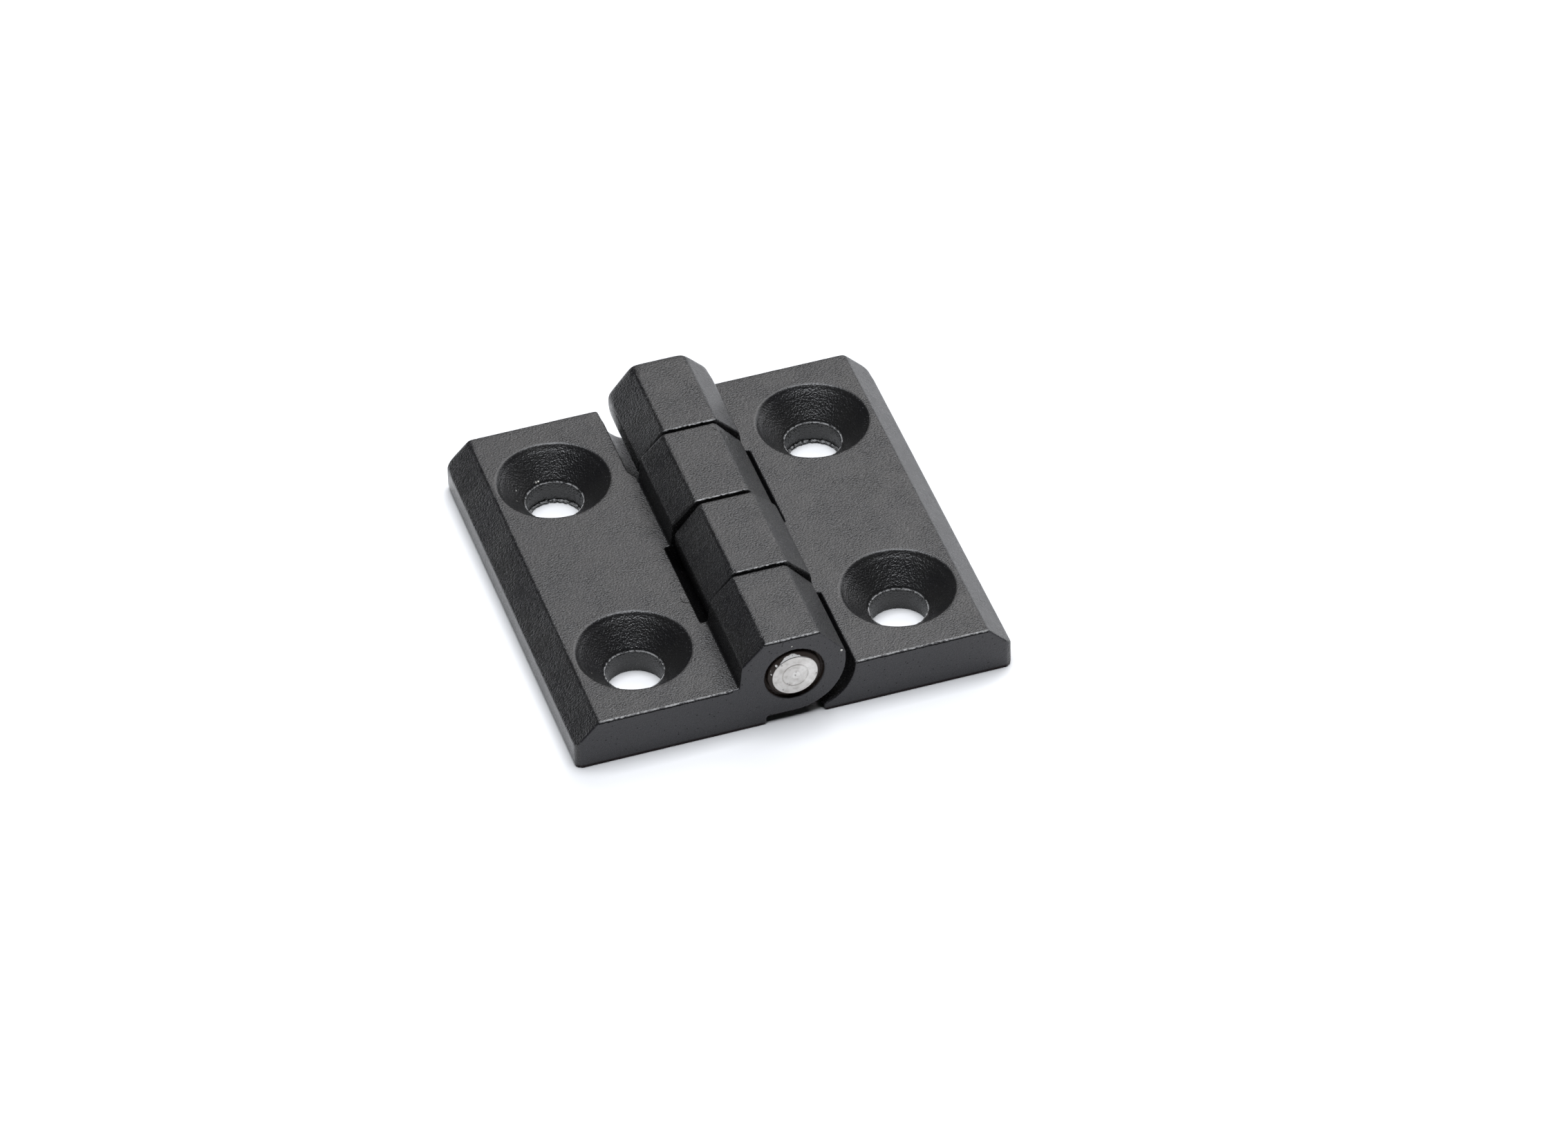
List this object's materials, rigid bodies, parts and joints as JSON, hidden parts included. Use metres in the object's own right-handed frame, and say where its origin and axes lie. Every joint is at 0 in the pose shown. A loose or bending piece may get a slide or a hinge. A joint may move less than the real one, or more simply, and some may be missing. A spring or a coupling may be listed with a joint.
{
  "type": "block hinge",
  "caption": "Square cast block hinge with countersunk screw holes, thick leaves, interleaved knuckles and a stainless pin, shown lying open.",
  "frame": {"origin": "centre of the mounting plane, straight under the pin and midway along the leaves", "axes": "+X from the fixed leaf to the swinging leaf, +Y along the pin to the rear, +Z out of the countersunk faces"},
  "size_m": [0.05, 0.0504, 0.0116],
  "materials": {
    "black_coat": "fine textured black powder coat",
    "pin_steel": "turned stainless steel"
  },
  "bodies": {
    "fixed": {"fixed_leaf": "black_coat", "hinge_pin": "pin_steel"},
    "swing": {"swing_leaf": "black_coat"}
  },
  "joints": [
    {"name": "leaf_swing", "type": "hinge", "parent": "fixed", "child": "swing", "pos_m": [0, 0, 0.0064], "axis": [0, -1, 0], "range_deg": [-55, 180]}
  ]
}
